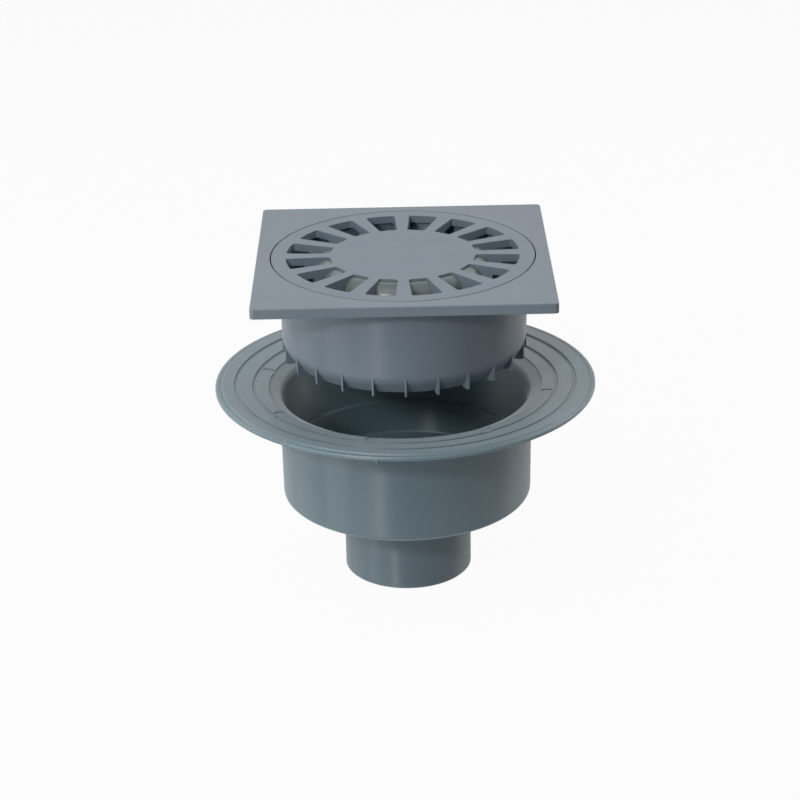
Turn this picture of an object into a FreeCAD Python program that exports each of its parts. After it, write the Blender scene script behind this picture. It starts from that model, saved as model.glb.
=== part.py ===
import FreeCAD, Part
import math
import os

# Trapped floor drain for a flat roof: a flanged bowl with an upright outlet spigot, and a square
# frame whose round cup slides down into the bowl. The cup holds the water seal: an upstand in its
# floor, and a bell that hangs under the round grate. Millimetres, +Z up, origin at the centre of
# the spigot's lower end.

V = FreeCAD.Vector
UP = V(0, 0, 1)
ORIGIN = V(0, 0, 0)

# Flanged body
SPIGOT_OD = 90.0            # outside of the outlet, made for a 90 mm pipe socket
SPIGOT_WALL = 3.0
SPIGOT_LENGTH = 59.0        # from the spigot's end to the underside of the bowl
SPIGOT_LEAD = 1.2           # chamfer that leads the spigot into its socket
BODY_HEIGHT = 143.8         # from the spigot's end to the crest of the flange
BOWL_OD = 176.6             # outside of the bowl under the flange
BOWL_WALL = 2.7             # wall at the mouth
BOWL_DRAFT = 0.7            # the bowl's outside is this much smaller in radius at its floor
BOWL_FLOOR = 3.2
BOWL_FLOOR_FALL = 1.6       # the floor falls this far towards the outlet
BOWL_EDGE_R = 3.0           # rounding round the bowl's lower edge
NECK_ROUND = 2.0            # roundings where the spigot joins the bowl, in and out
STOP_DEPTH = 54.8           # from the flange's crest down to the foot of the stop's sloping face
STOP_WIDTH = 2.6            # how far the stop stands in from the bowl's wall
STOP_RISE = 0.8             # height of that face

# Flange
FLANGE_OD = 265.0
FLANGE_THICK = 3.2
FLANGE_FALL = 0.123         # fall towards the mouth for each millimetre of radius
UNDER_ROUND = 2.5           # rounding between the bowl's outside and the flange
RIM_WIDTH = 5.1             # rounded rim outside the flange's shoulder
RIM_VALLEY = 1.3            # depth of the valley between shoulder and rim, and of the shoulder
RIM_SWELL = 0.7             # the rim's crest above that valley
RIM_EDGE = 2.9              # from the rim's crest down to the flange's lower edge
RIM_ROUND = 1.4
GROOVE_PLACES = (0.75625, 0.35625)  # outer walls of the two rings, on the way from land to shoulder
GROOVE_WIDTH = 3.0
GROOVE_DEPTH = 1.3          # depth at the groove's outer wall
LAND_R = 95.4               # inner edge of the flange, where the mouth begins
LAND_STEP = 1.0
MOUTH_R = 87.6              # where the mouth turns down into the bowl
MOUTH_FALL = 3.0            # from the land's step down to that turn
MOUTH_ROUND = 4.0
GUSSETS = 8                 # gussets under the flange, each below a round sunk pad
GUSSET_THICK = 3.0
GUSSET_REACH = 26.0         # out from the bowl's wall
GUSSET_DEPTH = 25.8         # from the flange's crest down to the gusset's foot
GUSSET_START = 31.7         # degrees from +X to the first one
PAD_D = 10.0
PAD_R = 99.7                # radius of the circle that the pads' centres lie on
PAD_DEPTH = 0.5
PAD_BLOCK = 1.5             # material under each pad, and how far the cut above it goes

# Square frame with its cup
FRAME_SIDE = 200.0
FRAME_THICK = 6.8           # height of the frame's edge
FRAME_SKIN = 3.0            # top skin inside that edge
FRAME_EDGE_WALL = 3.0
FRAME_CORNER_R = 3.0
FRAME_TOP_ROUND = 0.7
LIFT = 91.2                 # top of the frame above the flange's crest, lifted out of the bowl
SEAT_GAP = 0.75             # round gap between the grate and its recess in the frame
SEAT_DEPTH = 6.0            # from the frame's top to the ledge that carries the grate
SEAT_FLOOR = 3.4            # thickness of that ledge
SEAT_WALL = 2.6
CUP_CLEARANCE = 0.5         # between the cup's widest point and the bowl's bore
CUP_WALL = 2.6
CUP_DRAFT = 0.6
CUP_DEPTH = 69.4            # from the frame's top to the underside of the cup
CUP_TAPER_RISE = 9.5        # height of the cone round the cup's foot
CUP_TAPER_IN = 6.4
CUP_EDGE_R = 1.6
FINS = 24
FIN_THICK = 1.4
FIN_DROP = 1.2              # the fins' feet below the cup's underside; they land on the stop
FIN_CHAMFER_RISE = 1.6      # chamfer at each fin's outer lower corner
FIN_CHAMFER_IN = 0.9
UPSTAND_OD = 72.0           # pipe in the cup's floor that the water has to rise over
UPSTAND_WALL = 2.6
UPSTAND_TOP = 14.0          # from the frame's top down to its rim
FRAME_RIB_THICK = 2.0
FRAME_RIB_ANGLES = (-16.0, 0.0, 16.0)   # degrees either side of each corner's diagonal

# Grate
GRATE_D = 180.3
GRATE_TOP_ROUND = 0.5
SLOTS = 16
SLOT_OUTER_R = 80.0
SLOT_INNER_R = 50.0
WEB_INNER = 7.1             # width of a web's top at the slots' inner ends
WEB_OUTER = 10.6            # and at their outer ends
SLOT_CORNER = 1.6
SLOT_DRAFT = 7.0            # degrees that the slots' walls lean in
WEB_DEPTH = 5.1             # webs over the ledge
WEB_DEEP = 12.0             # webs inside the ledge
WEB_STEP_R = 67.5
DISC_THICK = 1.5
GRATE_FOOT = 3.6            # width of the ring that stands on the ledge

# Bell
BELL_OD = 121.6             # outside at the shoulder's foot
BELL_SHOULDER_R = 9.8
BELL_WALL = 2.2
BELL_DRAFT = 1.6
BELL_FOOT_GAP = 6.4         # from the bell's rim down to the cup's floor
BELL_RIBS = 4               # ribs under the crown that stand on the upstand's rim
BELL_RIB_THICK = 2.0
BELL_RIB_IN = 6.0           # how far they reach in past the upstand's bore

# Places that follow from the sizes above
BOWL_R = BOWL_OD / 2
BORE_R = BOWL_R - BOWL_WALL
FLANGE_R = FLANGE_OD / 2
CREST = BODY_HEIGHT
SHOULDER_R = FLANGE_R - RIM_WIDTH
GROOVE_OUTER_R = [LAND_R + place * (SHOULDER_R - LAND_R) for place in GROOVE_PLACES]
STOP_Z = CREST - STOP_DEPTH
STOP_BORE_R = BORE_R - STOP_WIDTH
FRAME_TOP = CREST + LIFT
SEAT_R = GRATE_D / 2 + SEAT_GAP
SEAT_Z = FRAME_TOP - SEAT_DEPTH
CUP_R = BORE_R - CUP_CLEARANCE
CUP_FOOT_Z = FRAME_TOP - CUP_DEPTH
CUP_FLOOR_Z = CUP_FOOT_Z + CUP_WALL
CUP_TAPER_Z = CUP_FOOT_Z + CUP_TAPER_RISE
FIN_R = CUP_R - CUP_DRAFT
CUP_FOOT_R = FIN_R - CUP_TAPER_IN
UPSTAND_R = UPSTAND_OD / 2
UPSTAND_RIM_Z = FRAME_TOP - UPSTAND_TOP
BELL_R = BELL_OD / 2
BELL_TOP = FRAME_TOP - DISC_THICK
BELL_FOOT_Z = CUP_FLOOR_Z + BELL_FOOT_GAP
BELL_FOOT_R = BELL_R + BELL_DRAFT


def flange_z(radius):
    """Height of the flange's upper face at a radius, without its grooves."""
    return CREST - (SHOULDER_R - radius) * FLANGE_FALL


def polar(radius, degrees, z=0.0):
    angle = math.radians(degrees)
    return V(radius * math.cos(angle), radius * math.sin(angle), z)


def corner_arc(before, corner, after, radius):
    """Where a rounding of this radius starts, its middle and where it ends."""
    back = (before - corner).normalize()
    ahead = (after - corner).normalize()
    half = back.getAngle(ahead) / 2
    reach = radius / math.tan(half)
    centre = corner + (back + ahead).normalize() * (radius / math.sin(half))
    middle = centre + (corner - centre).normalize() * radius
    return corner + back * reach, middle, corner + ahead * reach


def outline(corners):
    """Closed wire through points given as (point, rounding), straight between the roundings."""
    edges = []
    spans = []
    for i, (point, radius) in enumerate(corners):
        if radius:
            spans.append(corner_arc(corners[i - 1][0], point, corners[(i + 1) % len(corners)][0], radius))
        else:
            spans.append((point, None, point))
    for i, (start, middle, end) in enumerate(spans):
        if middle:
            edges.append(Part.Arc(start, middle, end).toShape())
        following = spans[(i + 1) % len(spans)][0]
        if (following - end).Length > 1e-6:
            edges.append(Part.LineSegment(end, following).toShape())
    return Part.Wire(edges)


def turned(corners):
    """Solid turned about Z from its section, given as (radius, height, rounding)."""
    wire = outline([(V(r, 0, z), rounding) for r, z, rounding in corners])
    return Part.Face(wire).revolve(ORIGIN, UP, 360)


def upright_plate(corners, thick, degrees):
    """Flat plate standing on the radial plane at an angle, from (radius, height) corners."""
    points = [V(r, -thick / 2, z) for r, z in corners]
    plate = Part.Face(Part.makePolygon(points + points[:1])).extrude(V(0, thick, 0))
    plate.rotate(ORIGIN, UP, degrees)
    return plate


def joined(shape, pieces):
    return shape.fuse(pieces).removeSplitter()


def body_section():
    """Section of the flanged bowl, up the outside and down the inside."""
    spigot_r = SPIGOT_OD / 2
    spigot_bore = spigot_r - SPIGOT_WALL
    under = FLANGE_THICK
    land = flange_z(LAND_R)
    mouth_z = land - LAND_STEP - MOUTH_FALL
    floor_top = SPIGOT_LENGTH + BOWL_FLOOR
    rim_crest = CREST - RIM_VALLEY + RIM_SWELL
    valley_r = SHOULDER_R + RIM_VALLEY
    corners = [
        (spigot_bore, 0, 0),
        (spigot_r - SPIGOT_LEAD, 0, 0),
        (spigot_r, SPIGOT_LEAD, 0),
        (spigot_r, SPIGOT_LENGTH, NECK_ROUND),
        (BOWL_R - BOWL_DRAFT, SPIGOT_LENGTH, BOWL_EDGE_R),
        (BOWL_R, mouth_z - BOWL_WALL, UNDER_ROUND),
        (LAND_R, land - under, 2 * UNDER_ROUND),
        (SHOULDER_R, CREST - under, 2 * UNDER_ROUND),
        (FLANGE_R, rim_crest - RIM_EDGE, RIM_ROUND / 2),
        (FLANGE_R, rim_crest, RIM_ROUND),
        (valley_r + 2 * RIM_SWELL, rim_crest, RIM_SWELL),
        (valley_r, CREST - RIM_VALLEY, RIM_SWELL / 2),
        (SHOULDER_R, CREST, RIM_SWELL),
    ]
    for groove_r in GROOVE_OUTER_R:
        floor = flange_z(groove_r) - GROOVE_DEPTH
        inner_r = groove_r - GROOVE_WIDTH
        corners += [
            (groove_r, flange_z(groove_r), 0),
            (groove_r, floor, 0),
            (inner_r, floor, 0),
            (inner_r, flange_z(inner_r), 0),
        ]
    corners += [
        (LAND_R, land, 0),
        (LAND_R, land - LAND_STEP, 0),
        (MOUTH_R, mouth_z, MOUTH_ROUND),
        (BORE_R, mouth_z - MOUTH_ROUND, MOUTH_ROUND * 2),
        (BORE_R, STOP_Z + STOP_RISE, 0),
        (STOP_BORE_R, STOP_Z, 0),
        (STOP_BORE_R, floor_top + BOWL_FLOOR_FALL, NECK_ROUND),
        (spigot_bore, floor_top, NECK_ROUND),
    ]
    return corners


def make_body():
    body = turned(body_section())
    foot_z = CREST - GUSSET_DEPTH
    tuck = BOWL_WALL / 2
    outer_r = BOWL_R + GUSSET_REACH
    root_z = flange_z(LAND_R) - LAND_STEP - MOUTH_FALL - BOWL_WALL
    lean = math.degrees(math.atan(FLANGE_FALL))
    pad_z = flange_z(PAD_R) - PAD_DEPTH
    added = []
    sunk = []
    for i in range(GUSSETS):
        angle = GUSSET_START + i * 360.0 / GUSSETS
        section = [
            (BOWL_R - tuck, foot_z),
            (BOWL_R, foot_z),
            (outer_r, flange_z(outer_r) - FLANGE_THICK),
            (outer_r, flange_z(outer_r) - FLANGE_THICK * 0.75),
            (LAND_R, flange_z(LAND_R) - FLANGE_THICK * 0.75),
            (BOWL_R - tuck, root_z),
        ]
        added.append(upright_plate(section, GUSSET_THICK, angle))
        for pieces, low in ((added, -PAD_BLOCK), (sunk, 0.0)):
            pad = Part.makeCylinder(PAD_D / 2, PAD_BLOCK, V(0, 0, low))
            pad.rotate(ORIGIN, V(0, 1, 0), -lean)
            pad.translate(V(PAD_R, 0, pad_z))
            pad.rotate(ORIGIN, UP, angle)
            pieces.append(pad)
    return joined(body, added).cut(sunk)


def rounded_square(side, corner_r, z, height):
    half = side / 2
    points = [V(half, half, z), V(-half, half, z), V(-half, -half, z), V(half, -half, z)]
    return Part.Face(outline([(point, corner_r) for point in points])).extrude(V(0, 0, height))


def cup_section():
    """Section of the seat, cup, floor and upstand, as one ring about the axis."""
    seat_outer = SEAT_R + SEAT_WALL
    seat_base = SEAT_Z - SEAT_FLOOR
    bore_r = UPSTAND_R - UPSTAND_WALL
    return [
        (bore_r, CUP_FOOT_Z, 1.0),
        (CUP_FOOT_R, CUP_FOOT_Z, CUP_EDGE_R),
        (FIN_R, CUP_TAPER_Z, 4.0),
        (CUP_R, seat_base, 1.0),
        (seat_outer, seat_base, 0.8),
        (seat_outer, FRAME_TOP - FRAME_SKIN / 2, 0),
        (SEAT_R, FRAME_TOP - FRAME_SKIN / 2, 0),
        (SEAT_R, SEAT_Z, 0),
        (CUP_R - CUP_WALL, SEAT_Z, 0.8),
        (FIN_R - CUP_WALL, CUP_TAPER_Z, 4.0),
        (CUP_FOOT_R - CUP_WALL / 2, CUP_FLOOR_Z, CUP_EDGE_R),
        (UPSTAND_R, CUP_FLOOR_Z, 2.0),
        (UPSTAND_R, UPSTAND_RIM_Z, 0.8),
        (bore_r, UPSTAND_RIM_Z, 0.8),
    ]


def make_frame():
    inner_side = FRAME_SIDE - 2 * FRAME_EDGE_WALL
    base = FRAME_TOP - FRAME_THICK
    plate = rounded_square(FRAME_SIDE, FRAME_CORNER_R, base, FRAME_THICK)
    top_edges = [e for e in plate.Edges if all(abs(v.Z - FRAME_TOP) < 1e-6 for v in e.Vertexes)]
    plate = plate.makeFillet(FRAME_TOP_ROUND, top_edges)
    hollow = rounded_square(inner_side, FRAME_CORNER_R / 2, base, FRAME_THICK - FRAME_SKIN)
    recess = Part.makeCylinder(SEAT_R, FRAME_THICK, V(0, 0, base))
    plate = plate.cut(hollow).cut(recess)
    ribs = []
    rib_start = SEAT_R + SEAT_WALL / 2
    rib_end = FRAME_SIDE
    room = rounded_square(inner_side + FRAME_EDGE_WALL, FRAME_CORNER_R, base, FRAME_THICK - FRAME_SKIN / 2)
    for corner in range(4):
        for turn in FRAME_RIB_ANGLES:
            section = [
                (rib_start, base),
                (rib_end, base),
                (rib_end, FRAME_TOP - FRAME_SKIN / 2),
                (rib_start, FRAME_TOP - FRAME_SKIN / 2),
            ]
            rib = upright_plate(section, FRAME_RIB_THICK, (corner + 0.5) * 90 + turn)
            ribs.append(rib.common(room))
    tuck = CUP_WALL / 2
    foot_z = CUP_FOOT_Z - FIN_DROP
    fins = []
    for i in range(FINS):
        section = [
            (FIN_R, CUP_TAPER_Z),
            (FIN_R, foot_z + FIN_CHAMFER_RISE),
            (FIN_R - FIN_CHAMFER_IN, foot_z),
            (CUP_FOOT_R, foot_z),
            (CUP_FOOT_R - tuck, CUP_FOOT_Z + tuck),
            (FIN_R - tuck, CUP_TAPER_Z),
        ]
        fins.append(upright_plate(section, FIN_THICK, i * 360.0 / FINS))
    return joined(plate, [turned(cup_section())] + ribs + fins)


def slot_outline(inset, z):
    """One slot's outline on +X: straight flanks along the webs, and an outer end on a circle."""
    inner_r = SLOT_INNER_R + inset
    outer_r = SLOT_OUTER_R - inset
    pitch = math.radians(360.0 / SLOTS)
    spread = (WEB_OUTER - WEB_INNER) / 2 / (SLOT_OUTER_R - SLOT_INNER_R)

    def flank(radius, side):
        """Point on a web's flank: the web's half width off the line between two slots."""
        off = WEB_INNER / 2 + spread * (radius - SLOT_INNER_R) + inset
        angle = pitch / 2 - math.asin(off / radius)
        return V(radius * math.cos(angle), side * radius * math.sin(angle), z)

    corner = SLOT_CORNER
    turn = corner / outer_r
    low = flank(outer_r, -1)
    high = flank(outer_r, 1)
    span = math.atan2(high.y, high.x)
    low_in = flank(inner_r, -1)
    high_in = flank(inner_r, 1)
    along = (high - high_in).normalize()
    across = V(0, 1, 0)

    def on_rim(angle):
        return V(outer_r * math.cos(angle), outer_r * math.sin(angle), z)

    def mirrored(point):
        return V(point.x, -point.y, z)

    rim_end = on_rim(span - turn)
    flank_end = high - along * corner
    rim_middle = (rim_end + flank_end) * 0.25 + high * 0.5
    flank_start = high_in + along * corner
    inner_end = high_in - across * corner
    inner_middle = (flank_start + inner_end) * 0.25 + high_in * 0.5
    edges = [
        Part.Arc(mirrored(rim_end), on_rim(0), rim_end),
        Part.Arc(rim_end, rim_middle, flank_end),
        Part.LineSegment(flank_end, flank_start),
        Part.Arc(flank_start, inner_middle, inner_end),
        Part.LineSegment(inner_end, mirrored(inner_end)),
        Part.Arc(mirrored(inner_end), mirrored(inner_middle), mirrored(flank_start)),
        Part.LineSegment(mirrored(flank_start), mirrored(flank_end)),
        Part.Arc(mirrored(flank_end), mirrored(rim_middle), mirrored(rim_end)),
    ]
    return Part.Wire([edge.toShape() for edge in edges])


def grate_section():
    """Section of the grate without its slots; its inner side follows the bell's shoulder."""
    rim_r = GRATE_D / 2
    web_z = FRAME_TOP - WEB_DEPTH
    deep_z = FRAME_TOP - WEB_DEEP
    return [
        (0, FRAME_TOP, 0),
        (rim_r, FRAME_TOP, GRATE_TOP_ROUND),
        (rim_r, SEAT_Z, 0),
        (rim_r - GRATE_FOOT, SEAT_Z, 0),
        (rim_r - GRATE_FOOT, web_z, 0.4),
        (WEB_STEP_R, web_z, 1.0),
        (WEB_STEP_R - 1.0, deep_z, 0.8),
        (0, deep_z, 0),
    ]


def bell_body():
    """The bell's outside as one solid block, which the grate's webs fit round."""
    return turned([
        (0, BELL_FOOT_Z, 0),
        (BELL_FOOT_R, BELL_FOOT_Z, 0),
        (BELL_R, BELL_TOP, BELL_SHOULDER_R),
        (0, BELL_TOP, 0),
    ])


def make_grate():
    grate = turned(grate_section())
    lean = math.tan(math.radians(SLOT_DRAFT))
    over = 1.0
    depth = WEB_DEEP + over
    top = slot_outline(-over * lean, FRAME_TOP + over)
    bottom = slot_outline(depth * lean, FRAME_TOP - depth)
    slot = Part.makeLoft([top, bottom], True, True)
    slots = []
    for i in range(SLOTS):
        copy = slot.copy()
        copy.rotate(ORIGIN, UP, (i + 0.5) * 360.0 / SLOTS)
        slots.append(copy)
    return grate.cut([bell_body()] + slots)


def make_bell():
    inner_foot = BELL_FOOT_R - BELL_WALL
    inner_top = BELL_TOP - BELL_WALL
    hollow = turned([
        (0, BELL_FOOT_Z, 0),
        (inner_foot, BELL_FOOT_Z, 0),
        (BELL_R - BELL_WALL, inner_top, BELL_SHOULDER_R - BELL_WALL),
        (0, inner_top, 0),
    ])
    ribs = []
    for i in range(BELL_RIBS):
        section = [
            (UPSTAND_R - UPSTAND_WALL - BELL_RIB_IN, UPSTAND_RIM_Z),
            (BELL_R - BELL_WALL / 2, UPSTAND_RIM_Z),
            (BELL_R - BELL_WALL / 2, BELL_TOP - BELL_SHOULDER_R),
            (BELL_R - BELL_SHOULDER_R, BELL_TOP - BELL_WALL / 2),
            (UPSTAND_R - UPSTAND_WALL - BELL_RIB_IN, BELL_TOP - BELL_WALL / 2),
        ]
        ribs.append(upright_plate(section, BELL_RIB_THICK, i * 360.0 / BELL_RIBS))
    return joined(bell_body().cut(hollow), ribs)


def main():
    os.makedirs("parts", exist_ok=True)
    nodes = {
        "drain_body": make_body(),
        "frame": make_frame(),
        "grate": make_grate(),
        "bell": make_bell(),
    }
    for name, shape in nodes.items():
        box = shape.BoundBox
        print(name, "solids", len(shape.Solids), "valid", shape.isValid(), "volume %.0f" % shape.Volume,
              "x %.1f..%.1f z %.2f..%.2f" % (box.XMin, box.XMax, box.ZMin, box.ZMax))
        shape.exportStep("parts/" + name + ".step")


main()
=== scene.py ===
import math

import bmesh
import bpy
from mathutils import Matrix, Vector


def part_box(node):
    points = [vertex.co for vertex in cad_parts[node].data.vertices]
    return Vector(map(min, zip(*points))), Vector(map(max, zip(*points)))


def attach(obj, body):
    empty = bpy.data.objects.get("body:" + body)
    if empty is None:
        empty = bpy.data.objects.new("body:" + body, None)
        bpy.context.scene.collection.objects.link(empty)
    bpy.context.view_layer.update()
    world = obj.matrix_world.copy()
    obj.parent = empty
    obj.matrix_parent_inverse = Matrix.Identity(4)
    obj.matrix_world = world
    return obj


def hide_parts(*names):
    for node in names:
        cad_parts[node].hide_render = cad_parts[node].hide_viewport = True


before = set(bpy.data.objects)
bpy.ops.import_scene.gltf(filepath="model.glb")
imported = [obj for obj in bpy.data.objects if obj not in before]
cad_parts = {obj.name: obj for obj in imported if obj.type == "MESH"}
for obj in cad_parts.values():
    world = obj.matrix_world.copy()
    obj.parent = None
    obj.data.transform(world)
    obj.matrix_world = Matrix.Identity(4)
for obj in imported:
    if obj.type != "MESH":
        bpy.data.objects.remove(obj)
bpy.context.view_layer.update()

# Flat roof drain: a flanged bowl with its outlet spigot, and above it the square frame with its
# cup, bell and round grate. The pieces stand for the frame's nodes at the same places, turned
# with finer facets and rounded edges. Metres.

MM = 0.001

_, body_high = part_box("drain_body")
frame_low, frame_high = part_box("frame")
_, grate_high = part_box("grate")
bell_low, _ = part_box("bell")

# Meshes
FINE = 256                          # facets round a turned piece
ARC_STEPS = 6                       # facets of a rounding in a section
WELD = 1e-7                         # points closer than this become one
ON_AXIS = 1e-9                      # a section's point nearer the axis than this lies on it
SHARP = 32                          # degrees; edges sharper than this stay sharp
NORMAL_WEIGHT = 80                  # how far large faces steer the smooth shading
OVERCUT = 1.0 * MM                  # how far cutting pieces stand past grate and bell

# Body
CREST = frame_high.z - 91.2 * MM
FLANGE_R = body_high.x
SPIGOT_R = 45.0 * MM
SPIGOT_WALL = 3.0 * MM
SPIGOT_LENGTH = 59.0 * MM
SPIGOT_LEAD = 1.2 * MM
SPIGOT_END_R = 0.3 * MM
SPIGOT_LEAD_R = 0.4 * MM
SPIGOT_BORE_R = SPIGOT_R - SPIGOT_WALL
BOWL_R = 88.3 * MM
BOWL_WALL = 2.7 * MM
BOWL_DRAFT = 0.7 * MM
BOWL_FLOOR = 3.2 * MM
BOWL_FLOOR_FALL = 1.6 * MM
BOWL_EDGE_R = 3.0 * MM
NECK_ROUND = 2.0 * MM
BORE_R = BOWL_R - BOWL_WALL
STOP_Z = CREST - 54.8 * MM
STOP_WIDTH = 2.6 * MM
STOP_RISE = 0.8 * MM
FLANGE_THICK = 3.2 * MM
FLANGE_FALL = 0.123
UNDER_ROUND = 2.5 * MM
SHOULDER_R = FLANGE_R - 5.1 * MM
RIM_VALLEY = 1.3 * MM
RIM_SWELL = 0.7 * MM
RIM_EDGE = 2.9 * MM
RIM_ROUND = 1.4 * MM
GROOVE_OUTER_R = (119.6 * MM, 106.8 * MM)
GROOVE_WIDTH = 3.0 * MM
GROOVE_DEPTH = 1.3 * MM
STEP_EDGE = 0.2 * MM                # rounding and draft of grooves, land and stop
LAND_R = 95.4 * MM
LAND_STEP = 1.0 * MM
MOUTH_R = 87.6 * MM
MOUTH_FALL = 3.0 * MM
MOUTH_ROUND = 4.0 * MM
GUSSETS = 8
GUSSET_THICK = 3.0 * MM
GUSSET_REACH = 26.0 * MM
GUSSET_DEPTH = 25.8 * MM
GUSSET_START = 31.7                 # degrees from +X
GUSSET_TOP = 0.75                   # its top's depth, as a share of the flange's thickness
PAD_RADIUS = 5.0 * MM
PAD_R = 99.7 * MM
PAD_DEPTH = 0.5 * MM
PAD_BLOCK = 1.5 * MM                # height of the blocks below and above a pad's face
PAD_FACETS = 40

# Frame with its cup
TOP = frame_high.z
FRAME_SIDE = frame_high.x - frame_low.x
FRAME_THICK = 6.8 * MM
FRAME_SKIN = 3.0 * MM
FRAME_EDGE_WALL = 3.0 * MM
FRAME_CORNER_R = 3.0 * MM
FRAME_ROUND = 0.7 * MM
FRAME_LIP = 0.35 * MM               # rounding where the top turns down into the seat
FRAME_OVERCUT = 5 * MM              # how far cutting pieces stand past the plate
FRAME_CORNERS = (45, 135, 225, 315)  # degrees from +X
CORNER_STEPS = 8                    # facets of a rounded corner
EDGE_STEPS = 5                      # facets of the rounding along the upper edge
LEAST_CORNER_R = 0.1 * MM
GRATE_R = grate_high.x
SEAT_R = GRATE_R + 0.75 * MM
SEAT_Z = TOP - 6.0 * MM
SEAT_FLOOR = 3.4 * MM
SEAT_WALL = 2.6 * MM
SEAT_ROUND = 0.8 * MM
SEAT_CORNER_R = 0.3 * MM
SEAT_LEAD = 0.3 * MM
CUP_R = BORE_R - 0.5 * MM
CUP_WALL = 2.6 * MM
CUP_DRAFT = 0.6 * MM
FIN_DROP = 1.2 * MM
CUP_FOOT_Z = frame_low.z + FIN_DROP
CUP_TAPER_RISE = 9.5 * MM
CUP_TAPER_IN = 6.4 * MM
CUP_KNEE_R = 14.0 * MM
CUP_KNEE_RISE = 4.5 * MM            # from the knee's corner to where its rounding ends
CUP_EDGE_R = 1.6 * MM
CUP_ROUND = 1.0 * MM
FIN_R = CUP_R - CUP_DRAFT
CUP_TAPER_Z = CUP_FOOT_Z + CUP_TAPER_RISE
CUP_FOOT_R = FIN_R - CUP_TAPER_IN
FINS = 24
FIN_THICK = 1.4 * MM
FIN_CHAMFER_RISE = 1.6 * MM
FIN_CHAMFER_IN = 0.9 * MM
UPSTAND_R = 36.0 * MM
UPSTAND_WALL = 2.6 * MM
UPSTAND_Z = TOP - 14.0 * MM
UPSTAND_FOOT_ROUND = 2.0 * MM
UPSTAND_ROUND = 0.8 * MM
RIB_THICK = 2.0 * MM
RIB_ANGLES = (-16.0, 0.0, 16.0)     # degrees either side of a corner

# Grate
GRATE_FOOT = 3.6 * MM
GRATE_RIM_R = 0.5 * MM
GRATE_FOOT_R = 0.2 * MM
SLOTS = 16
SLOT_OUTER_R = 80.0 * MM
SLOT_INNER_R = 50.0 * MM
SLOT_CORNER = 1.6 * MM
SLOT_DRAFT = 7.0                    # degrees
SLOT_END_PARTS = 8                  # parts of half the outer end's angle
SLOT_END_REACH = 5                  # of those, clear of the corner's rounding
WEB_INNER = 7.1 * MM
WEB_OUTER = 10.6 * MM
WEB_DEPTH = 5.1 * MM
WEB_DEEP = 12.0 * MM
WEB_ROOT_R = 0.4 * MM
WEB_STEP_R = 67.5 * MM
WEB_STEP_IN = 1.0 * MM
WEB_STEP_ROUND = 1.0 * MM
WEB_END_ROUND = 0.8 * MM
DISC_THICK = 1.5 * MM

# Bell
BELL_R = 60.8 * MM
BELL_TOP = TOP - DISC_THICK
BELL_SHOULDER_R = 9.8 * MM
BELL_WALL = 2.2 * MM
BELL_FOOT_Z = bell_low.z
BELL_FOOT_R = BELL_R + 1.6 * MM
BELL_RIBS = 4
BELL_RIB_THICK = 2.0 * MM
BELL_RIB_IN = 6.0 * MM
BELL_OUTER_STEPS = 14               # facets of the shoulder's rounding
BELL_INNER_STEPS = 10

# Plastics
BODY_GREY = (0.098, 0.154, 0.182)
FRAME_GREY = (0.146, 0.182, 0.215)
GRATE_GREY = (0.134, 0.173, 0.208)
BELL_GREY = (0.120, 0.141, 0.143)
SATIN = 0.42                        # roughness of body, frame and grate
GLOSSY = 0.27                       # and of the bell
GLOSS_SPREAD = 0.05                 # how far the roughness varies either way
MOTTLE = 0.04                       # share by which the colour varies either way
MOTTLE_SPAN = 0.2                   # part of the noise, either way, that the colours run over
COLOUR_NOISE = (14.0, 4.0)          # scale and detail
GLOSS_NOISE = (60.0, 6.0)
GRAIN_NOISE = (900.0, 3.0)
GRAIN_HEIGHT = 0.1 * MM
EDGE_SAMPLES = 4
IOR = 1.5
MARKS_TURN = 0.25                   # stretches a highlight along the axis, not round it
SHEEN_ROUGHNESS = 0.4
SHEEN_TINT = (0.88, 0.95, 1.0, 1)

# Studio
FLOOR_SIZE = 12
FLOOR_Z = -0.0005
FLOOR_GREY = (0.4, 0.4, 0.41, 1)
FLOOR_ROUGHNESS = 0.9
FLOOR_WHITE = 0.955                 # share of plain white that the camera sees in it
SKY = (0.95, 0.97, 1.0, 1)
SKY_STRENGTH = 0.04
LAMP_AIM = Vector((0, 0, 0.14))
LAMPS = (
    # name, degrees from +X, degrees up, distance, size, watts
    ("top_left", -145, 65, 1.5, (1.0, 1.0), 4.2),
    ("top_right", -35, 65, 1.5, (1.0, 1.0), 2),
    ("left_high", -126, 50, 1.5, (1.0, 1.0), 6),
    ("key", -115, 30, 1.5, (0.16, 0.16), 6),
    ("low_front", -126, 2, 1.2, (0.5, 0.22), 1.4),
    ("low_left", -152, 2, 1.2, (0.5, 0.22), 3),
    ("panel_left", 175, 12, 1.2, (0.6, 0.5), 2.2),
    ("back_high", 90, 40, 1.6, (1.4, 0.8), 2.5),
    ("back_left", 145, 35, 1.5, (0.9, 0.9), 3.5),
    ("back_right", 35, 35, 1.5, (0.9, 0.9), 6.5),
    ("edge_right", 15, 10, 1.2, (0.4, 0.6), 0.5),
)


def flange_z(radius):
    """Height of the flange's upper face at a radius, without its grooves."""
    return CREST - (SHOULDER_R - radius) * FLANGE_FALL


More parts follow.
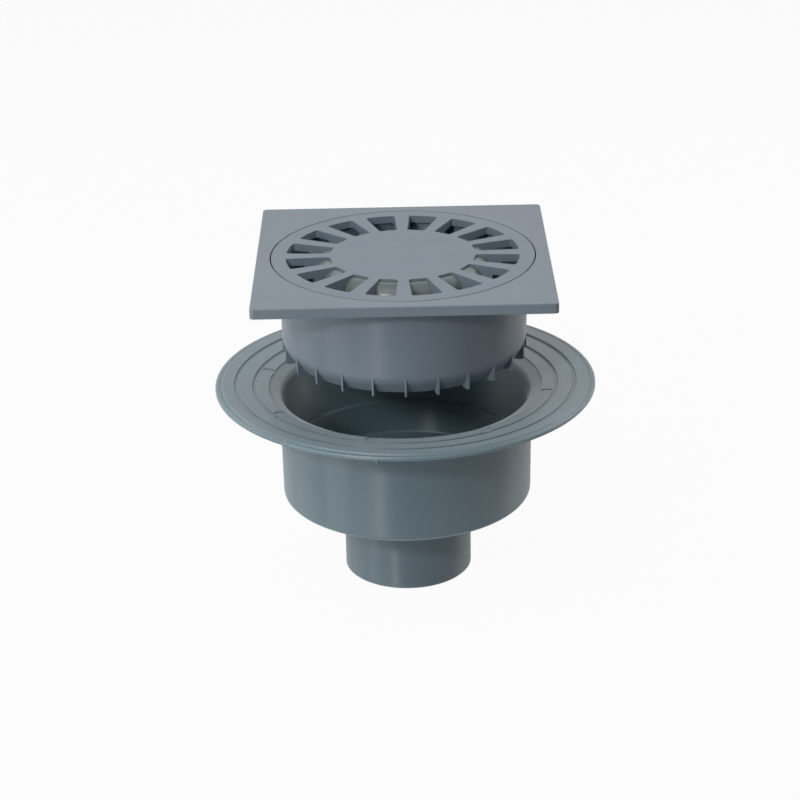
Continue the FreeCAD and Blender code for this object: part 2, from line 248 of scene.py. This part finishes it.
def rounded(corners, steps=ARC_STEPS):
    """Points of a closed outline given as (x, y, rounding): each rounding becomes an arc."""
    points = []
    for i, (x, y, radius) in enumerate(corners):
        corner = Vector((x, y))
        if not radius:
            points.append(corner)
            continue
        before = Vector(corners[i - 1][:2]) - corner
        after = Vector(corners[(i + 1) % len(corners)][:2]) - corner
        back, ahead = before.normalized(), after.normalized()
        half = back.angle(ahead) / 2
        centre = corner + (back + ahead).normalized() * (radius / math.sin(half))
        start = corner + back * (radius / math.tan(half)) - centre
        end = corner + ahead * (radius / math.tan(half)) - centre
        sweep = start.angle_signed(end)
        for k in range(steps + 1):
            points.append(centre + Matrix.Rotation(-sweep * k / steps, 2) @ start)
    return points


def new_piece(name, mesh):
    piece = bpy.data.objects.new(name, mesh)
    bpy.context.scene.collection.objects.link(piece)
    return piece


def mesh_from(name, verts, faces):
    mesh = bpy.data.meshes.new(name)
    mesh.from_pydata([tuple(v) for v in verts], [], faces)
    bm = bmesh.new()
    bm.from_mesh(mesh)
    bmesh.ops.remove_doubles(bm, verts=bm.verts, dist=WELD)
    bmesh.ops.recalc_face_normals(bm, faces=bm.faces)
    bm.to_mesh(mesh)
    bm.free()
    return mesh


def turned(name, corners, steps=ARC_STEPS):
    """Piece turned about Z from its section, given as (radius, height, rounding)."""
    section = rounded(corners, steps)
    count = len(section)
    verts = []
    for k in range(FINE):
        angle = 2 * math.pi * k / FINE
        verts += [(p.x * math.cos(angle), p.x * math.sin(angle), p.y) for p in section]
    faces = []
    for k in range(FINE):
        a, b = k * count, ((k + 1) % FINE) * count
        for i in range(count):
            j = (i + 1) % count
            if section[i].x < ON_AXIS and section[j].x < ON_AXIS:
                continue
            if section[i].x < ON_AXIS:
                faces.append((a + i, b + j, a + j))
            elif section[j].x < ON_AXIS:
                faces.append((a + i, b + i, a + j))
            else:
                faces.append((a + i, b + i, b + j, a + j))
    return new_piece(name, mesh_from(name, verts, faces))


def stacked(name, loops):
    """Closed piece through outlines that have the same number of points, low to high."""
    count = len(loops[0])
    last = (len(loops) - 1) * count
    faces = [tuple(range(count)), tuple(range(last, last + count))]
    for a in range(0, last, count):
        b = a + count
        faces += [(a + i, a + (i + 1) % count, b + (i + 1) % count, b + i)
                  for i in range(count)]
    return new_piece(name, mesh_from(name, sum(loops, []), faces))


def upright_plate(name, corners, thick, degrees):
    """Flat plate standing on the radial plane at an angle, from (radius, height) corners."""
    spin = Matrix.Rotation(math.radians(degrees), 4, "Z")
    sides = [[spin @ Vector((r, y, z)) for r, z in corners] for y in (-thick / 2, thick / 2)]
    return stacked(name, sides)


def merge(name, pieces):
    """One mesh piece holding several, each left as it is."""
    bm = bmesh.new()
    for piece in pieces:
        bm.from_mesh(piece.data)
        bpy.data.objects.remove(piece)
    mesh = bpy.data.meshes.new(name)
    bm.to_mesh(mesh)
    bm.free()
    return new_piece(name, mesh)


def combine(piece, other, operation):
    """Applies a boolean of one piece with another, and removes the other."""
    tool = piece.modifiers.new("combine", "BOOLEAN")
    tool.operation = operation
    tool.solver = "MANIFOLD"
    tool.object = other
    graph = bpy.context.evaluated_depsgraph_get()
    mesh = bpy.data.meshes.new_from_object(piece.evaluated_get(graph))
    piece.modifiers.clear()
    piece.data = mesh
    bpy.data.objects.remove(other)


def smooth(piece):
    """Smooth shading that keeps sharp edges and lets the large faces lead."""
    piece.data.shade_smooth()
    piece.data.set_sharp_from_angle(angle=math.radians(SHARP))
    weigh = piece.modifiers.new("even_normals", "WEIGHTED_NORMAL")
    weigh.keep_sharp = True
    weigh.weight = NORMAL_WEIGHT


def body_section():
    """Section of the flanged bowl, up the outside and down the inside."""
    land = flange_z(LAND_R)
    mouth_z = land - LAND_STEP - MOUTH_FALL
    floor_top = SPIGOT_LENGTH + BOWL_FLOOR
    rim_crest = CREST - RIM_VALLEY + RIM_SWELL
    valley_r = SHOULDER_R + RIM_VALLEY
    stop_bore = BORE_R - STOP_WIDTH
    corners = [
        (SPIGOT_BORE_R, 0, SPIGOT_END_R),
        (SPIGOT_R - SPIGOT_LEAD, 0, SPIGOT_END_R),
        (SPIGOT_R, SPIGOT_LEAD, SPIGOT_LEAD_R),
        (SPIGOT_R, SPIGOT_LENGTH, NECK_ROUND),
        (BOWL_R - BOWL_DRAFT, SPIGOT_LENGTH, BOWL_EDGE_R),
        (BOWL_R, mouth_z - BOWL_WALL, UNDER_ROUND),
        (LAND_R, land - FLANGE_THICK, 2 * UNDER_ROUND),
        (SHOULDER_R, CREST - FLANGE_THICK, 2 * UNDER_ROUND),
        (FLANGE_R, rim_crest - RIM_EDGE, RIM_ROUND / 2),
        (FLANGE_R, rim_crest, RIM_ROUND),
        (valley_r + 2 * RIM_SWELL, rim_crest, RIM_SWELL),
        (valley_r, CREST - RIM_VALLEY, RIM_SWELL / 2),
        (SHOULDER_R, CREST, RIM_SWELL),
    ]
    for groove_r in GROOVE_OUTER_R:
        floor = flange_z(groove_r) - GROOVE_DEPTH
        inner_r = groove_r - GROOVE_WIDTH
        corners += [
            (groove_r, flange_z(groove_r), STEP_EDGE),
            (groove_r - STEP_EDGE, floor, STEP_EDGE),
            (inner_r + STEP_EDGE, floor, STEP_EDGE),
            (inner_r, flange_z(inner_r), STEP_EDGE),
        ]
    corners += [
        (LAND_R, land, STEP_EDGE),
        (LAND_R - STEP_EDGE, land - LAND_STEP, STEP_EDGE),
        (MOUTH_R, mouth_z, MOUTH_ROUND),
        (BORE_R, mouth_z - MOUTH_ROUND, MOUTH_ROUND * 2),
        (BORE_R, STOP_Z + STOP_RISE, STEP_EDGE),
        (stop_bore, STOP_Z, STEP_EDGE),
        (stop_bore, floor_top + BOWL_FLOOR_FALL, NECK_ROUND),
        (SPIGOT_BORE_R, floor_top, NECK_ROUND),
    ]
    return corners


def tilted_pad(name, low, high, degrees):
    """Round block square to the flange's sloping face, from low to high about the pad's face."""
    slope = Matrix.Rotation(-math.atan(FLANGE_FALL), 4, "Y")
    spin = Matrix.Rotation(math.radians(degrees), 4, "Z")
    place = spin @ Matrix.Translation((PAD_R, 0, flange_z(PAD_R) - PAD_DEPTH)) @ slope
    circle = [(PAD_RADIUS * math.cos(t), PAD_RADIUS * math.sin(t))
              for t in (2 * math.pi * k / PAD_FACETS for k in range(PAD_FACETS))]
    return stacked(name, [[place @ Vector((x, y, z)) for x, y in circle] for z in (low, high)])


def make_body():
    body = turned("drain_body_shell", body_section())
    tuck_r = BOWL_R - BOWL_WALL / 2
    foot_z = CREST - GUSSET_DEPTH
    outer_r = BOWL_R + GUSSET_REACH
    section = [
        (tuck_r, foot_z),
        (BOWL_R, foot_z),
        (outer_r, flange_z(outer_r) - FLANGE_THICK),
        (outer_r, flange_z(outer_r) - FLANGE_THICK * GUSSET_TOP),
        (LAND_R, flange_z(LAND_R) - FLANGE_THICK * GUSSET_TOP),
        (tuck_r, flange_z(LAND_R) - LAND_STEP - MOUTH_FALL - BOWL_WALL),
    ]
    gussets, pads, sunk = [], [], []
    for i in range(GUSSETS):
        angle = GUSSET_START + i * 360.0 / GUSSETS
        gussets.append(upright_plate("gusset", section, GUSSET_THICK, angle))
        pads.append(tilted_pad("pad", -PAD_BLOCK, 0, angle))
        sunk.append(tilted_pad("sunk", 0, PAD_BLOCK, angle))
    combine(body, merge("gussets", gussets), "UNION")
    combine(body, merge("pads", pads), "UNION")
    combine(body, merge("sunk", sunk), "DIFFERENCE")
    return body


def rounded_square(name, side, corner_r, z, height, edge_r=0.0):
    """Square plate with rounded corners, and a rounding along its upper edge."""
    top = z + height
    levels = [(0.0, z)]
    if edge_r:
        turns = [math.pi / 2 * k / EDGE_STEPS for k in range(EDGE_STEPS + 1)]
        levels += [(edge_r * (1 - math.cos(t)), top - edge_r * (1 - math.sin(t)))
                   for t in turns]
    else:
        levels.append((0.0, top))
    loops = []
    for inset, level in levels:
        reach = side / 2 - inset
        round_r = max(corner_r - inset, LEAST_CORNER_R)
        loop = rounded([(reach, reach, round_r), (-reach, reach, round_r),
                        (-reach, -reach, round_r), (reach, -reach, round_r)], CORNER_STEPS)
        loops.append([(p.x, p.y, level) for p in loop])
    return stacked(name, loops)


def cup_section():
    """Section of the seat, cup, floor and upstand, as one ring about the axis."""
    seat_base = SEAT_Z - SEAT_FLOOR
    bore_r = UPSTAND_R - UPSTAND_WALL
    floor_z = CUP_FOOT_Z + CUP_WALL
    inside = TOP - FRAME_SKIN / 2
    return [
        (bore_r, CUP_FOOT_Z, CUP_ROUND),
        (CUP_FOOT_R, CUP_FOOT_Z, CUP_EDGE_R),
        (FIN_R, CUP_TAPER_Z, CUP_KNEE_R),
        (CUP_R, seat_base, CUP_ROUND),
        (SEAT_R + SEAT_WALL, seat_base, SEAT_ROUND),
        (SEAT_R + SEAT_WALL, inside, 0),
        (SEAT_R + SEAT_LEAD, inside, 0),
        (SEAT_R, TOP - FRAME_SKIN, 0),
        (SEAT_R, SEAT_Z, SEAT_CORNER_R),
        (CUP_R - CUP_WALL, SEAT_Z, SEAT_ROUND),
        (FIN_R - CUP_WALL, CUP_TAPER_Z, CUP_KNEE_R - CUP_WALL),
        (CUP_FOOT_R - CUP_WALL / 2, floor_z, CUP_EDGE_R),
        (UPSTAND_R, floor_z, UPSTAND_FOOT_ROUND),
        (UPSTAND_R, UPSTAND_Z, UPSTAND_ROUND),
        (bore_r, UPSTAND_Z, UPSTAND_ROUND),
    ]


def frame_plate():
    """Square plate, hollow below, with the round opening over the seat."""
    base = TOP - FRAME_THICK
    below = base - FRAME_OVERCUT
    above = TOP + FRAME_OVERCUT
    plate = rounded_square("frame_shell", FRAME_SIDE, FRAME_CORNER_R, base, FRAME_THICK,
                           FRAME_ROUND)
    hollow = rounded_square("hollow", FRAME_SIDE - 2 * FRAME_EDGE_WALL, FRAME_CORNER_R / 2,
                            below, FRAME_OVERCUT + FRAME_THICK - FRAME_SKIN)
    combine(plate, hollow, "DIFFERENCE")
    recess = turned("recess", [
        (0, below, 0),
        (SEAT_R, below, 0),
        (SEAT_R, TOP, FRAME_LIP),
        (SEAT_R + 2 * FRAME_LIP, TOP, 0),
        (SEAT_R + 2 * FRAME_LIP, above, 0),
        (0, above, 0),
    ])
    combine(plate, recess, "DIFFERENCE")
    return plate


def corner_ribs():
    """Ribs under the plate's corners, from the seat's wall into the plate's edge."""
    base = TOP - FRAME_THICK
    top = TOP - FRAME_SKIN / 2
    inner_r = SEAT_R + SEAT_WALL / 2
    section = [(inner_r, base), (FRAME_SIDE, base), (FRAME_SIDE, top), (inner_r, top)]
    ribs = merge("ribs", [upright_plate("rib", section, RIB_THICK, corner + turn)
                          for corner in FRAME_CORNERS for turn in RIB_ANGLES])
    inner_side = FRAME_SIDE - 2 * FRAME_EDGE_WALL
    room = rounded_square("room", inner_side + FRAME_EDGE_WALL, FRAME_CORNER_R,
                          base - FRAME_OVERCUT, 4 * FRAME_OVERCUT)
    combine(ribs, room, "INTERSECT")
    return ribs


def cup_fins():
    """Fins round the cup's foot, rooted in its cone."""
    tuck = CUP_WALL / 2
    foot_z = CUP_FOOT_Z - FIN_DROP
    section = [
        (FIN_R, CUP_TAPER_Z + CUP_KNEE_RISE),
        (FIN_R, foot_z + FIN_CHAMFER_RISE),
        (FIN_R - FIN_CHAMFER_IN, foot_z),
        (CUP_FOOT_R, foot_z),
        (CUP_FOOT_R - tuck, CUP_FOOT_Z + tuck),
        (FIN_R - tuck, CUP_TAPER_Z),
    ]
    return merge("fins", [upright_plate("fin", section, FIN_THICK, i * 360.0 / FINS)
                          for i in range(FINS)])


def make_frame():
    plate = frame_plate()
    ribs = corner_ribs()
    fins = cup_fins()
    cup = turned("cup", cup_section())
    combine(cup, fins, "UNION")
    combine(cup, ribs, "UNION")
    combine(plate, cup, "UNION")
    return plate


def slot_outline(inset, z):
    """One slot's outline on +X: straight flanks along the webs, and an outer end on a circle."""
    inner_r = SLOT_INNER_R + inset
    outer_r = SLOT_OUTER_R - inset
    half_pitch = math.pi / SLOTS
    spread = (WEB_OUTER - WEB_INNER) / 2 / (SLOT_OUTER_R - SLOT_INNER_R)

    def flank(radius):
        """Angle of a web's flank: the web's half width off the line between two slots."""
        off = WEB_INNER / 2 + spread * (radius - SLOT_INNER_R) + inset
        return half_pitch - math.asin(off / radius)

    def at(radius, angle):
        return radius * math.cos(angle), radius * math.sin(angle)

    rim = flank(outer_r)
    corners = [
        (*at(inner_r, flank(inner_r)), SLOT_CORNER),
        (*at(outer_r, rim), SLOT_CORNER),
        *[(*at(outer_r, rim * k / SLOT_END_PARTS), 0)
          for k in range(SLOT_END_REACH, -SLOT_END_REACH - 1, -1)],
        (*at(outer_r, -rim), SLOT_CORNER),
        (*at(inner_r, -flank(inner_r)), SLOT_CORNER),
    ]
    return [Vector((p.x, p.y, z)) for p in rounded(corners)]


def bell_block(name):
    """The bell's outside as one block, which the grate's webs fit round."""
    return turned(name, [
        (0, BELL_FOOT_Z, 0),
        (BELL_FOOT_R, BELL_FOOT_Z, 0),
        (BELL_R, BELL_TOP, BELL_SHOULDER_R),
        (0, BELL_TOP, 0),
    ], BELL_OUTER_STEPS)


def make_grate():
    foot_r = GRATE_R - GRATE_FOOT
    grate = turned("grate_shell", [
        (0, TOP, 0),
        (GRATE_R, TOP, GRATE_RIM_R),
        (GRATE_R, SEAT_Z, GRATE_FOOT_R),
        (foot_r, SEAT_Z, GRATE_FOOT_R),
        (foot_r, TOP - WEB_DEPTH, WEB_ROOT_R),
        (WEB_STEP_R, TOP - WEB_DEPTH, WEB_STEP_ROUND),
        (WEB_STEP_R - WEB_STEP_IN, TOP - WEB_DEEP, WEB_END_ROUND),
        (0, TOP - WEB_DEEP, 0),
    ])
    combine(grate, bell_block("bell_room"), "DIFFERENCE")
    lean = math.tan(math.radians(SLOT_DRAFT))
    depth = WEB_DEEP + OVERCUT
    outlines = [slot_outline(depth * lean, TOP - depth),
                slot_outline(-OVERCUT * lean, TOP + OVERCUT)]
    slots = []
    for i in range(SLOTS):
        spin = Matrix.Rotation((i + 0.5) * 2 * math.pi / SLOTS, 4, "Z")
        slots.append(stacked("slot", [[spin @ p for p in outline] for outline in outlines]))
    combine(grate, merge("slots", slots), "DIFFERENCE")
    return grate


def make_bell():
    bell = bell_block("bell_shell")
    inner_top = BELL_TOP - BELL_WALL
    hollow = turned("hollow", [
        (0, BELL_FOOT_Z - OVERCUT, 0),
        (BELL_FOOT_R - BELL_WALL, BELL_FOOT_Z - OVERCUT, 0),
        (BELL_R - BELL_WALL, inner_top, BELL_SHOULDER_R - BELL_WALL),
        (0, inner_top, 0),
    ], BELL_INNER_STEPS)
    combine(bell, hollow, "DIFFERENCE")
    tuck = BELL_WALL / 2
    rib_in = UPSTAND_R - UPSTAND_WALL - BELL_RIB_IN
    section = [
        (rib_in, UPSTAND_Z),
        (BELL_R - tuck, UPSTAND_Z),
        (BELL_R - tuck, BELL_TOP - BELL_SHOULDER_R),
        (BELL_R - BELL_SHOULDER_R, BELL_TOP - tuck),
        (rib_in, BELL_TOP - tuck),
    ]
    ribs = merge("ribs", [upright_plate("rib", section, BELL_RIB_THICK, i * 360.0 / BELL_RIBS)
                          for i in range(BELL_RIBS)])
    combine(bell, ribs, "UNION")
    return bell


def mark_walls(nodes, links, shader, strength):
    """Fine marks of a turned mould: on upright walls they stretch a highlight along the axis,
    and on level faces they fade out."""
    facing = nodes.new("ShaderNodeNewGeometry")
    parts = nodes.new("ShaderNodeSeparateXYZ")
    links.new(facing.outputs["Normal"], parts.inputs["Vector"])
    level = nodes.new("ShaderNodeMath")
    level.operation = "ABSOLUTE"
    links.new(parts.outputs["Z"], level.inputs[0])
    marks = nodes.new("ShaderNodeMapRange")
    marks.inputs["To Min"].default_value = strength
    marks.inputs["To Max"].default_value = 0.0
    links.new(level.outputs["Value"], marks.inputs["Value"])
    links.new(marks.outputs["Result"], shader.inputs["Anisotropic"])
    shader.inputs["Anisotropic Rotation"].default_value = MARKS_TURN
    around = nodes.new("ShaderNodeTangent")
    around.direction_type = "RADIAL"
    around.axis = "Z"
    links.new(around.outputs["Tangent"], shader.inputs["Tangent"])


def moulded(name, colour, roughness, turned_marks=0.0, grain=0.12, edge=0.35 * MM,
            specular=0.35, sheen=0.0):
    """Moulded plastic: slight colour drift, uneven gloss, fine grain and softened edges."""
    material = bpy.data.materials.new(name)
    material.use_nodes = True
    nodes, links = material.node_tree.nodes, material.node_tree.links
    shader = nodes["Principled BSDF"]
    shader.inputs["IOR"].default_value = IOR
    shader.inputs["Specular IOR Level"].default_value = specular
    if sheen:
        shader.inputs["Sheen Weight"].default_value = sheen
        shader.inputs["Sheen Roughness"].default_value = SHEEN_ROUGHNESS
        shader.inputs["Sheen Tint"].default_value = SHEEN_TINT
    if turned_marks:
        mark_walls(nodes, links, shader, turned_marks)
    place = nodes.new("ShaderNodeTexCoord")

    def noise(scale, detail):
        texture = nodes.new("ShaderNodeTexNoise")
        texture.inputs["Scale"].default_value = scale
        texture.inputs["Detail"].default_value = detail
        links.new(place.outputs["Object"], texture.inputs["Vector"])
        return texture.outputs["Fac"]

    tint = nodes.new("ShaderNodeValToRGB")
    for stop, side in zip(tint.color_ramp.elements, (-1, 1)):
        stop.position = 0.5 + side * MOTTLE_SPAN
        stop.color = (*[c * (1 + side * MOTTLE) for c in colour], 1)
    links.new(noise(*COLOUR_NOISE), tint.inputs["Fac"])
    links.new(tint.outputs["Color"], shader.inputs["Base Color"])
    spread = nodes.new("ShaderNodeMapRange")
    spread.inputs["To Min"].default_value = roughness - GLOSS_SPREAD
    spread.inputs["To Max"].default_value = roughness + GLOSS_SPREAD
    links.new(noise(*GLOSS_NOISE), spread.inputs["Value"])
    links.new(spread.outputs["Result"], shader.inputs["Roughness"])
    soften = nodes.new("ShaderNodeBevel")
    soften.samples = EDGE_SAMPLES
    soften.inputs["Radius"].default_value = edge
    relief = nodes.new("ShaderNodeBump")
    relief.inputs["Strength"].default_value = grain
    relief.inputs["Distance"].default_value = GRAIN_HEIGHT
    links.new(noise(*GRAIN_NOISE), relief.inputs["Height"])
    links.new(soften.outputs["Normal"], relief.inputs["Normal"])
    links.new(relief.outputs["Normal"], shader.inputs["Normal"])
    return material


def dress(piece, node, body, material):
    smooth(piece)
    piece.data.materials.clear()
    piece.data.materials.append(material)
    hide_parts(node)
    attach(piece, body)


def seen_rays(nodes, links):
    """1 for the rays that show a background: the camera's and those in reflections and glass."""
    path = nodes.new("ShaderNodeLightPath")
    value = path.outputs["Is Camera Ray"]
    for kind in ("Is Glossy Ray", "Is Transmission Ray"):
        most = nodes.new("ShaderNodeMath")
        most.operation = "MAXIMUM"
        links.new(value, most.inputs[0])
        links.new(path.outputs[kind], most.inputs[1])
        value = most.outputs["Value"]
    return value


def make_floor():
    """Pale floor that shows nearly white and keeps a soft shadow of the object."""
    bpy.ops.mesh.primitive_plane_add(size=FLOOR_SIZE, location=(0, 0, FLOOR_Z))
    floor = bpy.context.object
    floor.name = "floor"
    material = bpy.data.materials.new("floor_white")
    material.use_nodes = True
    nodes, links = material.node_tree.nodes, material.node_tree.links
    shader = nodes["Principled BSDF"]
    shader.inputs["Base Color"].default_value = FLOOR_GREY
    shader.inputs["Roughness"].default_value = FLOOR_ROUGHNESS
    shader.inputs["Specular IOR Level"].default_value = 0
    white = nodes.new("ShaderNodeEmission")
    white.inputs["Strength"].default_value = 1.0
    share = nodes.new("ShaderNodeMath")
    share.operation = "MULTIPLY"
    share.inputs[1].default_value = FLOOR_WHITE
    links.new(seen_rays(nodes, links), share.inputs[0])
    mix = nodes.new("ShaderNodeMixShader")
    links.new(share.outputs["Value"], mix.inputs["Fac"])
    links.new(shader.outputs["BSDF"], mix.inputs[1])
    links.new(white.outputs["Emission"], mix.inputs[2])
    links.new(mix.outputs["Shader"], nodes["Material Output"].inputs["Surface"])
    floor.data.materials.append(material)


def make_world():
    """Faint even light on the object, and white where the camera sees past the floor."""
    world = bpy.data.worlds.new("studio")
    bpy.context.scene.world = world
    world.use_nodes = True
    nodes, links = world.node_tree.nodes, world.node_tree.links
    nodes.clear()
    output = nodes.new("ShaderNodeOutputWorld")
    soft = nodes.new("ShaderNodeBackground")
    soft.inputs["Color"].default_value = SKY
    soft.inputs["Strength"].default_value = SKY_STRENGTH
    white = nodes.new("ShaderNodeBackground")
    white.inputs["Color"].default_value = (1, 1, 1, 1)
    white.inputs["Strength"].default_value = 1.0
    mix = nodes.new("ShaderNodeMixShader")
    links.new(seen_rays(nodes, links), mix.inputs["Fac"])
    links.new(soft.outputs["Background"], mix.inputs[1])
    links.new(white.outputs["Background"], mix.inputs[2])
    links.new(mix.outputs["Shader"], output.inputs["Surface"])


def make_lamp(name, azimuth, elevation, distance, size, power):
    """Soft panel aimed at the middle of the object; the camera's azimuth is -90."""
    around, up = math.radians(azimuth), math.radians(elevation)
    away = Vector((math.cos(up) * math.cos(around), math.cos(up) * math.sin(around),
                   math.sin(up)))
    data = bpy.data.lights.new(name, "AREA")
    data.shape = "RECTANGLE"
    data.size, data.size_y = size
    data.energy = power
    lamp = bpy.data.objects.new(name, data)
    bpy.context.scene.collection.objects.link(lamp)
    lamp.location = LAMP_AIM + away * distance
    lamp.rotation_euler = (-away).to_track_quat("-Z", "Y").to_euler()
    lamp.visible_camera = False


def make_camera():
    """The photograph's camera, fitted to the outlines of frame, flange, bowl and spigot."""
    picture = 800.0                 # pixels across
    focal = 2297.0                  # pixels
    sensor = 36.0                   # millimetres across
    distance = 1612.8 * MM
    pitch = math.radians(23.54)
    roll = math.radians(-1.16)
    target = Vector((-3.92 * MM, 0, CREST - 17.66 * MM))
    data = bpy.data.cameras.new("camera")
    data.sensor_width = sensor
    data.lens = focal / picture * sensor
    camera = bpy.data.objects.new("camera", data)
    bpy.context.scene.collection.objects.link(camera)
    look = Vector((0, math.cos(pitch), -math.sin(pitch)))
    camera.location = target - look * distance
    turn = look.to_track_quat("-Z", "Y").to_matrix()
    camera.rotation_euler = (turn @ Matrix.Rotation(roll, 3, "Z")).to_euler()
    bpy.context.scene.camera = camera


def main():
    body_grey = moulded("body_plastic", BODY_GREY, SATIN, turned_marks=1.0, specular=0.7,
                        sheen=0.65, grain=0.06, edge=0.12 * MM)
    frame_grey = moulded("frame_plastic", FRAME_GREY, SATIN, turned_marks=1.0, specular=0.37)
    grate_grey = moulded("grate_plastic", GRATE_GREY, SATIN)
    bell_grey = moulded("bell_plastic", BELL_GREY, GLOSSY, specular=0.3)
    dress(make_body(), "drain_body", "body", body_grey)
    dress(make_frame(), "frame", "cover", frame_grey)
    dress(make_grate(), "grate", "cover", grate_grey)
    dress(make_bell(), "bell", "cover", bell_grey)
    make_floor()
    make_world()
    for lamp in LAMPS:
        make_lamp(*lamp)
    make_camera()
    bpy.context.scene.view_settings.view_transform = "Standard"


main()
